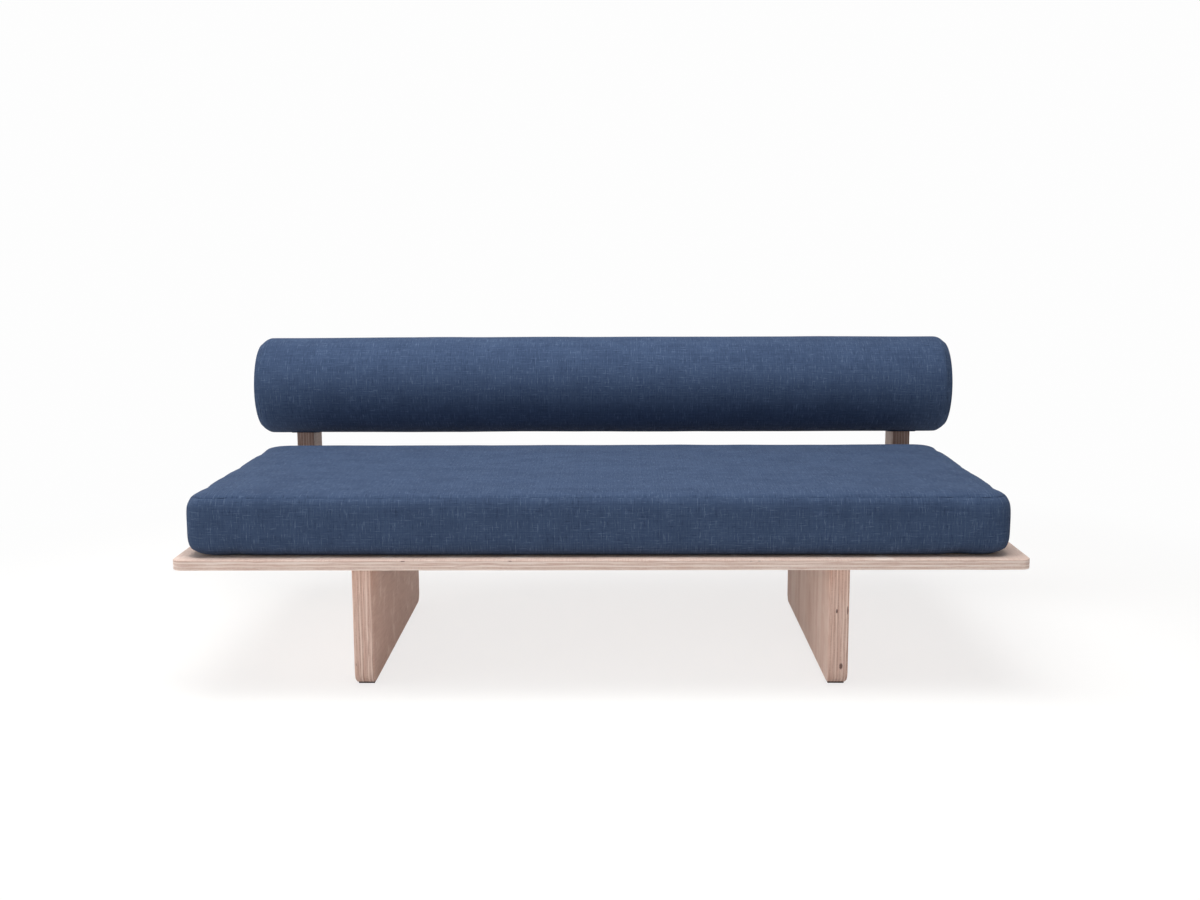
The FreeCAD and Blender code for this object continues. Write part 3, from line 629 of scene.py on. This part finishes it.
def lay_seat(piece):
    """The worn-in look of the seat cushion: sides that pull in, soft unevenness, faint
    creases beside the seam, a base that lies flat and a rear that the zip keeps straight."""
    centre = (SEAT_LOW + SEAT_HIGH) / 2
    half = (SEAT_HIGH - SEAT_LOW) / 2
    seam = SEAT_LOW.z + SEAT_EDGE_HEIGHT
    zip_height = (SEAT_ZIP_LOW.z + SEAT_ZIP_HIGH.z) / 2
    normals = [v.normal.copy() for v in piece.data.vertices]
    for vertex, normal in zip(piece.data.vertices, normals):
        point = vertex.co
        u = (point.x - centre.x) / half.x
        v = (point.y - centre.y) / half.y
        if v < 0:
            point.y += SEAT_PULL * (1 - u * u) * abs(v) ** 8
        point.x -= math.copysign(SEAT_PULL * (1 - v * v) * abs(u) ** 16, u)
        above_base = min(1.0, (point.z - SEAT_LOW.z) / 0.03)
        lift = 0.0008 * waviness(point, 0.21, 4.0) + 0.0004 * waviness(point, 0.07, 8.0)
        off_seam = abs(point.z - seam + 0.004)
        crease = Vector((point.x / 0.10, point.y / 0.10, point.z / 0.012 + 20))
        lift += 0.0011 * noise.noise(crease) * math.exp(-(off_seam / 0.022) ** 2)
        vertex.co = point + normal * lift * above_base
        if normal.y > 0.7:
            keep = max(0.0, 1 - (abs(point.z - zip_height) / 0.045) ** 4)
            vertex.co.y += (SEAT_HIGH.y - 0.0003 - vertex.co.y) * keep
        vertex.co.z = max(vertex.co.z, SEAT_LOW.z + 0.0003)
        vertex.co.y = min(vertex.co.y, SEAT_HIGH.y - 0.0003)


def sew_line(piece, place, way, reach, depth):
    """A sewn seam: three loops cut round a piece, the middle one pulled in."""
    way = Vector(way).normalized()
    place = Vector(place)
    start_edit(piece)
    for step in (-reach, 0, reach):
        bpy.ops.mesh.select_all(action="SELECT")
        bpy.ops.mesh.bisect(plane_co=place + way * step, plane_no=way)
    choose(piece, "verts", lambda v: abs((v.co - place).dot(way)) < 1e-6)
    bpy.ops.transform.shrink_fatten(value=-depth)
    end_edit()


def round_the_side(x, y):
    """How far round the side of the seat cushion a point lies, from the middle of its front."""
    centre = (SEAT_LOW + SEAT_HIGH) / 2
    half = (SEAT_HIGH - SEAT_LOW) / 2
    sign = 1 if x > centre.x else -1
    right, back = abs(x - centre.x), y - centre.y
    straight = half.x - SEAT_CORNER_RADIUS
    quarter = SEAT_CORNER_RADIUS * math.pi / 2
    if right <= straight and back < 0:
        return sign * right
    if right <= straight:
        return right * sign + 4
    if back < -(half.y - SEAT_CORNER_RADIUS):
        turn = math.atan2(right - straight, -(back + half.y - SEAT_CORNER_RADIUS))
        return sign * (straight + SEAT_CORNER_RADIUS * turn)
    return sign * (straight + quarter + back + half.y - SEAT_CORNER_RADIUS)


def lay_weave(piece, chart):
    """Gives every corner of a piece its place in the weave, in metres, from a chart of
    the point, the face's middle and the face's normal."""
    layer = piece.data.uv_layers.new(name="weave")
    points = piece.data.vertices
    for face in piece.data.polygons:
        for corner in face.loop_indices:
            point = points[piece.data.loops[corner].vertex_index].co
            layer.data[corner].uv = chart(point, face.center, face.normal)


def seat_chart(point, centre, normal):
    """Top and base are cut straight, and one long strip goes round the side."""
    if centre.z > SEAT_LOW.z + SEAT_EDGE_HEIGHT or normal.z < -0.8:
        return (point.x, point.y)
    return (round_the_side(point.x, point.y), point.z)


def make_seat_cushion():
    piece = seat_blank()
    modify(piece, "REMESH", mode="VOXEL", voxel_size=SEAT_GRAIN, use_smooth_shade=True)
    blow_up(piece, 2.5, (0.004, 0.004, 0.007))
    modify(piece, "SMOOTH", factor=0.5, iterations=3)
    play = Vector((SKIN_PLAY, SKIN_PLAY, SKIN_PLAY))
    sides = Vector((SEAT_BULGE.x, 0, 0))
    fill_space(piece, SEAT_LOW + play - SEAT_BULGE, SEAT_HIGH - play + sides)
    lay_seat(piece)
    modify(piece, "SUBSURF", levels=1, render_levels=1)
    seam = Vector((0, 0, SEAT_LOW.z + SEAT_EDGE_HEIGHT))
    sew_line(piece, seam, (0, 0, 1), 0.0022, 0.0016)
    lay_weave(piece, seat_chart)
    smooth(piece, 60)
    dressed(piece, "seat_cushion", blue_weave)
    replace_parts(piece, "seat_cover", "seat_wadding", "seat_foam_core")
    return piece


def bolster_blank():
    """A long drum with rounded rims, its skin divided finely enough to swell."""
    length = BOLSTER_HIGH.x - BOLSTER_LOW.x - 2 * COVER_SLACK
    radius = BOLSTER_RADIUS - COVER_SLACK
    bpy.ops.object.select_all(action="DESELECT")
    bpy.ops.mesh.primitive_cylinder_add(vertices=BOLSTER_SIDES, radius=radius, depth=length,
                                        location=BOLSTER_AXIS, rotation=(0, math.pi / 2, 0))
    piece = rest_at_origin(bpy.context.object, "bolster")
    start_edit(piece)
    choose(piece, "edges", lambda e: runs_along(e, 0))
    bpy.ops.mesh.subdivide(number_cuts=BOLSTER_CUTS)
    choose(piece, "faces", lambda f: abs(f.normal.x) > 0.9)
    for _ in range(BOLSTER_END_RINGS):
        bpy.ops.mesh.inset(thickness=BOLSTER_RING_WIDTH, use_individual=False)
    bpy.ops.mesh.poke()
    ends = (BOLSTER_LOW.x + COVER_SLACK, BOLSTER_HIGH.x - COVER_SLACK)
    choose(piece, "edges", lambda e: any(near(e.verts[0].co.x, end) and near(e.verts[1].co.x, end)
                                         for end in ends)
           and near((middle(e) - BOLSTER_AXIS).yz.length, radius, 0.001))
    bpy.ops.mesh.bevel(offset=BOLSTER_END_ROUND, segments=4, affect="EDGES")
    end_edit()
    return piece


def lay_bolster(piece):
    """Soft unevenness of the bolster, ends that bulge, and a strip that the zip keeps straight."""
    normals = [v.normal.copy() for v in piece.data.vertices]
    half = (BOLSTER_HIGH.x - BOLSTER_LOW.x) / 2
    for vertex, normal in zip(piece.data.vertices, normals):
        point = vertex.co.copy()
        if abs(point.x) > half - BOLSTER_END_ROUND:
            from_axis = (point - BOLSTER_AXIS).yz.length / BOLSTER_RADIUS
            dome = max(0.0, 1 - from_axis ** 4)
            point.x += math.copysign(BOLSTER_END_BULGE * dome, point.x)
        lift = 0.0013 * waviness(point, 0.26, 2.0) + 0.0006 * waviness(point, 0.09, 6.0)
        point += normal * lift
        arm = (point - BOLSTER_AXIS).yz
        turn = abs(math.atan2(-arm.y, arm.x) - ZIP_TURN)
        keep = max(0.0, 1 - (turn / 0.22) ** 4) if abs(point.x) < half - 0.06 else 0.0
        wanted = BOLSTER_RADIUS - 0.0004
        reach = arm.length
        if reach > 0.1 and keep > 0:
            arm *= (reach + (wanted - reach) * keep) / reach
            point.y, point.z = BOLSTER_AXIS.y + arm.x, BOLSTER_AXIS.z + arm.y
        vertex.co = point


def bolster_chart(point, centre, normal):
    """A strip rolled round the bolster, and two discs."""
    if abs(normal.x) > 0.75:
        return (point.y, point.z)
    arm = point - BOLSTER_AXIS
    middle_arm = centre - BOLSTER_AXIS
    turn = math.atan2(arm.z, arm.y)
    if abs(turn - math.atan2(middle_arm.z, middle_arm.y)) > math.pi:
        turn -= math.copysign(2 * math.pi, turn)
    return (point.x, turn * BOLSTER_RADIUS)


def post_opening(side):
    """The two corners of the opening that the bolster has round a post."""
    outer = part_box(side + "_post_outer_board")
    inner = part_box(side + "_post_inner_board")
    play = Vector((SLOT_PLAY, SLOT_PLAY, 0))
    return Vector(map(min, outer[0], inner[0])) - play, Vector(map(max, outer[1], inner[1])) + play


def cut_post_slots(piece):
    """Sleeves in the bolster that go over the posts, up to the blocks of its core."""
    for side in ("left", "right"):
        low, high = post_opening(side)
        cutter = block("slot_cutter", (low.x, low.y, BOLSTER_LOW.z - 0.02),
                       (high.x, high.y, STOP_LOW.z + 0.002))
        modify(piece, "BOOLEAN", operation="DIFFERENCE", solver="MANIFOLD", object=cutter)
        bpy.data.objects.remove(cutter)


def make_bolster():
    piece = bolster_blank()
    blow_up(piece, 4.0, (0.004, 0.003, 0.003))
    modify(piece, "SMOOTH", factor=0.5, iterations=2)
    play = Vector((SKIN_PLAY, SKIN_PLAY, SKIN_PLAY))
    fill_space(piece, BOLSTER_LOW + play, BOLSTER_HIGH - play)
    lay_bolster(piece)
    modify(piece, "SUBSURF", levels=1, render_levels=1)
    for end, way in ((BOLSTER_LOW.x, 1), (BOLSTER_HIGH.x, -1)):
        sew_line(piece, (end + way * 0.012, 0, 0), (1, 0, 0), 0.0018, 0.0014)
    cut_post_slots(piece)
    lay_weave(piece, bolster_chart)
    smooth(piece, 60)
    dressed(piece, "bolster", blue_weave)
    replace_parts(piece, "bolster_cover", "bolster_foam")
    return piece


# Zips: the model's tapes and sliders get coil teeth, stop staples and a pull tab each

TOOTH_PITCH = 0.0016
TOOTH_SIZE = Vector((0.0008, 0.0046, 0.0007))
TOOTH_ROUND = 0.00022
TOOTH_SINK = 0.00012
SPARE_TEETH = 4
RIDGE_HEIGHT = 0.0015
TAPE_RISE = 0.001
SLIDER_HEIGHT = 0.0048
STAPLE_LOW = Vector((-0.0014, -0.0034, 0.0001))
STAPLE_HIGH = Vector((0.0014, 0.0034, 0.0024))
STAPLE_ROUND = 0.0006
STAPLE_INSET = 0.002
BAIL_RADIUS = 0.0036
BAIL_WIRE = 0.0006
TAB_LOW = Vector((-0.0028, -0.0024, 0))
TAB_HIGH = Vector((0.0028, 0.0280, 0.0013))
TAB_TAPER = 0.62
TAB_EASE = 0.0003
EYE_LOW = Vector((-0.0012, -0.0008, -0.01))
EYE_HIGH = Vector((0.0012, 0.0021, 0.01))


def zip_places():
    """For each zip: its name, body and length, and the turn and place of its tape's outer face."""
    back = Matrix.Rotation(math.radians(-90), 4, "X")
    low_back = Matrix.Rotation(-math.pi + ZIP_TURN, 4, "X")
    seat_middle = (SEAT_ZIP_LOW + SEAT_ZIP_HIGH) / 2
    seat_face = Vector((seat_middle.x, SEAT_ZIP_HIGH.y - RIDGE_HEIGHT, seat_middle.z))
    out = low_back.to_3x3() @ Vector((0, 0, BOLSTER_RADIUS + TAPE_RISE))
    yield ("seat", "seat_cushion", SEAT_ZIP_HIGH.x - SEAT_ZIP_LOW.x,
           Matrix.Translation(seat_face) @ back)
    yield ("bolster", "bolster", BOLSTER_ZIP_HIGH.x - BOLSTER_ZIP_LOW.x,
           Matrix.Translation(BOLSTER_AXIS + out) @ low_back)


def rounded_block(name, low, high, rim):
    """A block with all its edges rounded."""
    piece = block(name, low, high)
    modify(piece, "BEVEL", width=rim, segments=2, limit_method="NONE")
    return piece


def make_zip_teeth(name, body, length, turn):
    """Coil teeth over the model's ridge, and a staple at each end."""
    half = TOOTH_SIZE / 2
    tooth = rounded_block("tooth", -half, half, TOOTH_ROUND)
    middle_height = RIDGE_HEIGHT - TOOTH_SINK
    count = int(length / TOOTH_PITCH) - SPARE_TEETH
    places = [turn @ Matrix.Translation(((step - (count - 1) / 2) * TOOTH_PITCH, 0, middle_height))
              for step in range(count)]
    teeth = dressed(strew(name + "_zip_teeth", tooth, places), body, zip_coil)
    smooth(teeth, 40)
    staple = rounded_block("staple", STAPLE_LOW, STAPLE_HIGH, STAPLE_ROUND)
    end = length / 2 - STAPLE_INSET
    places = [turn @ Matrix.Translation((side * end, 0, 0)) for side in (-1, 1)]
    staples = dressed(strew(name + "_zip_staples", staple, places), body, zip_metal)
    smooth(staples, 40)


def make_zip_pull(name, turn):
    """A bail bent over the slider and a tapered tab with an eye, hanging from it."""
    low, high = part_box(name + "_zip_slider")
    centre = turn.inverted() @ ((low + high) / 2)
    bpy.ops.object.select_all(action="DESELECT")
    bpy.ops.mesh.primitive_torus_add(major_radius=BAIL_RADIUS, minor_radius=BAIL_WIRE,
                                     major_segments=24, minor_segments=8,
                                     rotation=(math.pi / 2, 0, 0))
    bail = rest_at_origin(bpy.context.object, "bail")
    start_edit(bail)
    bpy.ops.mesh.select_all(action="SELECT")
    bpy.ops.mesh.bisect(plane_co=(0, 0, 0), plane_no=(0, 0, 1), clear_inner=True, use_fill=True)
    end_edit()
    bail.data.transform(Matrix.Translation((0, 0, SLIDER_HEIGHT - BAIL_WIRE)))
    tab = block("tab", TAB_LOW, TAB_HIGH)
    start_edit(tab)
    choose(tab, "faces", lambda f: f.normal.y < -0.9)
    bpy.ops.transform.resize(value=(TAB_TAPER, 1, 1))
    end_edit()
    eye = block("eye", EYE_LOW, EYE_HIGH)
    modify(tab, "BOOLEAN", operation="DIFFERENCE", solver="EXACT", object=eye)
    bpy.data.objects.remove(eye)
    modify(tab, "BEVEL", width=TAB_EASE, segments=2, limit_method="ANGLE",
           angle_limit=math.radians(40))
    tab.data.transform(Matrix.Translation((0, 0, SLIDER_HEIGHT + BAIL_WIRE)))
    pull = join([bail, tab], name + "_zip_pull")
    pull.data.transform(turn @ Matrix.Translation((centre.x, 0, 0)))
    smooth(dressed(pull, name + "_zip", zip_metal), 40)


def make_zips():
    for name, body, length, turn in zip_places():
        make_zip_teeth(name, body, length, turn)
        make_zip_pull(name, turn)


# Cotton bands sewn round the mouths of the post sleeves, below the bolster

BAND_WIDTH = 0.011
BAND_THICKNESS = 0.0012
BAND_EASE = 0.0004


def make_sleeve_bands():
    """One flat frame of cloth for each sleeve, laid on the round of the bolster."""
    for side in ("left", "right"):
        low, high = post_opening(side)
        size = high - low
        centre = Vector(((low.x + high.x) / 2, (low.y + high.y) / 2, 0))
        bpy.ops.object.select_all(action="DESELECT")
        bpy.ops.mesh.primitive_grid_add(x_subdivisions=24, y_subdivisions=40, size=1,
                                        location=centre)
        piece = rest_at_origin(bpy.context.object, side + "_sleeve_band")
        start_edit(piece)
        bpy.ops.mesh.select_all(action="SELECT")
        bpy.ops.transform.resize(value=(size.x + 2 * BAND_WIDTH, size.y + 2 * BAND_WIDTH, 1),
                                 center_override=centre)
        end_edit()
        cut_hole(piece, low, high)
        for vertex in piece.data.vertices:
            back = vertex.co.y - BOLSTER_AXIS.y
            drop = math.sqrt(max(0.0, BOLSTER_RADIUS ** 2 - back * back))
            vertex.co.z = BOLSTER_AXIS.z - drop - BAND_THICKNESS / 3
        modify(piece, "SOLIDIFY", thickness=BAND_THICKNESS, offset=0.0)
        modify(piece, "BEVEL", width=BAND_EASE, segments=2, limit_method="ANGLE",
               angle_limit=math.radians(50))
        lay_weave(piece, lambda point, centre, normal: (point.x, point.y))
        smooth(dressed(piece, "bolster", blue_binding), 40)


def cut_hole(piece, low, high):
    """Cuts a flat grid along the four sides of an opening and takes out what lies inside."""
    start_edit(piece)
    for place, way in ((low, (1, 0, 0)), (high, (1, 0, 0)), (low, (0, 1, 0)), (high, (0, 1, 0))):
        bpy.ops.mesh.select_all(action="SELECT")
        bpy.ops.mesh.bisect(plane_co=(place.x, place.y, 0), plane_no=way)

    def inside(face):
        centre = face.calc_center_median()
        return low.x < centre.x < high.x and low.y < centre.y < high.y

    choose(piece, "faces", inside)
    bpy.ops.mesh.delete(type="FACE")
    end_edit()


# Floor, light and camera

def make_stage():
    """A pale floor that runs out into a white background."""
    bpy.ops.object.select_all(action="DESELECT")
    bpy.ops.mesh.primitive_plane_add(size=60, location=(0, 0, 0))
    floor = bpy.context.object
    floor.name = "floor"
    f = Finish("pale_floor")
    x, y, z = f.parts(f.node("TexCoord", None, None, output=3))
    from_middle = f.math("SQRT", x * x + y * y)
    far = f.step(from_middle, 1.4, 2.6)
    seen = f.node("LightPath", None, None, output=0)
    mirrored = f.node("LightPath", None, None, output=3)
    clear = f.math("MAXIMUM", seen, mirrored)
    lit = f.node("BsdfDiffuse", None, {"Color": (0.88, 0.88, 0.88, 1)})
    own = f.node("BsdfDiffuse", None, {"Color": (0.28, 0.29, 0.285, 1)})
    glow = f.node("Emission", None, {"Color": (1, 0.985, 0.985, 1), "Strength": 0.75})
    white = f.node("Emission", None, {"Color": (0.985, 0.985, 0.985, 1), "Strength": 1.0})
    near_floor = f.node("AddShader", None, {0: own, 1: glow})
    shown = f.node("MixShader", None, {0: far, 1: near_floor, 2: white})
    f.node("OutputMaterial", None, {"Surface": f.node("MixShader", None, {0: clear, 1: lit, 2: shown})})
    floor.data.materials.append(f.material)


def make_world():
    """Even light all round, and white where the camera looks past the floor."""
    world = bpy.data.worlds.new("studio")
    bpy.context.scene.world = world
    world.use_nodes = True
    tree = world.node_tree
    tree.nodes.clear()
    path = tree.nodes.new("ShaderNodeLightPath")
    light = tree.nodes.new("ShaderNodeBackground")
    light.inputs["Color"].default_value = (1.0, 0.99, 0.98, 1)
    light.inputs["Strength"].default_value = 0.17
    white = tree.nodes.new("ShaderNodeBackground")
    white.inputs["Color"].default_value = (0.985, 0.985, 0.985, 1)
    white.inputs["Strength"].default_value = 1.0
    mix = tree.nodes.new("ShaderNodeMixShader")
    output = tree.nodes.new("ShaderNodeOutputWorld")
    clear = tree.nodes.new("ShaderNodeMath")
    clear.operation = "MAXIMUM"
    tree.links.new(path.outputs["Is Camera Ray"], clear.inputs[0])
    tree.links.new(path.outputs["Is Glossy Ray"], clear.inputs[1])
    tree.links.new(clear.outputs[0], mix.inputs[0])
    tree.links.new(light.outputs[0], mix.inputs[1])
    tree.links.new(white.outputs[0], mix.inputs[2])
    tree.links.new(mix.outputs[0], output.inputs["Surface"])


def softbox(name, place, aim, width, height, power, color=(1, 1, 1)):
    """A large soft lamp at a place, turned to what it lights."""
    lamp = bpy.data.lights.new(name, "AREA")
    lamp.shape = "RECTANGLE"
    lamp.size, lamp.size_y = width, height
    lamp.energy = power
    lamp.color = color
    thing = bpy.data.objects.new(name, lamp)
    thing.location = place
    thing.rotation_euler = (Vector(aim) - Vector(place)).to_track_quat("-Z", "Y").to_euler()
    thing.visible_camera = False
    bpy.context.scene.collection.objects.link(thing)


def make_lights():
    softbox("overhead", (-0.3, -0.55, 3.4), (0, 0, 0.3), 3.8, 1.8, 132, (1, 0.99, 0.98))
    softbox("left", (-3.8, -1.6, 0.8), (0.5, -0.1, 0.15), 1.8, 1.4, 40, (1, 0.98, 0.97))
    softbox("front", (1.2, -5.2, 2.2), (0.2, -0.1, 0.35), 3.0, 1.6, 28, (1, 0.99, 0.98))
    softbox("rear", (-0.3, 4.4, 0.9), (0, 0, 0.1), 5.0, 1.2, 46, (1, 0.98, 0.97))


def make_camera():
    """The photograph's view: 1378 pixels of focal length in a 1200 by 900 picture."""
    picture_width, focal_pixels = 1200, 1378
    camera = bpy.data.cameras.new("view")
    camera.sensor_fit = "HORIZONTAL"
    camera.sensor_width = 36.0
    camera.lens = 36.0 * focal_pixels / picture_width
    thing = bpy.data.objects.new("view", camera)
    bpy.context.scene.collection.objects.link(thing)
    pitch, yaw, roll = 0.154, -0.01021, -0.003516
    ahead = Vector((math.sin(yaw) * math.cos(pitch), math.cos(yaw) * math.cos(pitch),
                    -math.sin(pitch)))
    right = Vector((math.cos(yaw), -math.sin(yaw), 0))
    up = right.cross(ahead)
    side = right * math.cos(roll) + up * math.sin(roll)
    top = up * math.cos(roll) - right * math.sin(roll)
    turn = Matrix((side, top, -ahead)).transposed()
    thing.matrix_world = Matrix.Translation((0.03235, -3.58575, 1.057)) @ turn.to_4x4()
    bpy.context.scene.camera = thing


make_camera()
make_world()
make_lights()
make_stage()
make_wood()
make_core_wood()
make_seat_cushion()
make_bolster()
make_zips()
make_sleeve_bands()

for node in ("leg_brackets", "bracket_platform_screws", "bracket_leg_screws", "post_bolts",
             "post_washers", "bolster_core_screws"):
    refinish(node, zinc)
for node in ("platform_inserts", "leg_inserts", "post_barrel_nuts"):
    refinish(node, brass)
for node in ("left_leg_glide", "right_leg_glide"):
    refinish(node, brown_felt)
for node in ("seat_zip_tape", "bolster_zip_tape"):
    refinish(node, zip_tape)
for node in ("seat_zip_slider", "bolster_zip_slider"):
    refinish(node, zip_metal)

bpy.context.scene.view_settings.view_transform = "Standard"
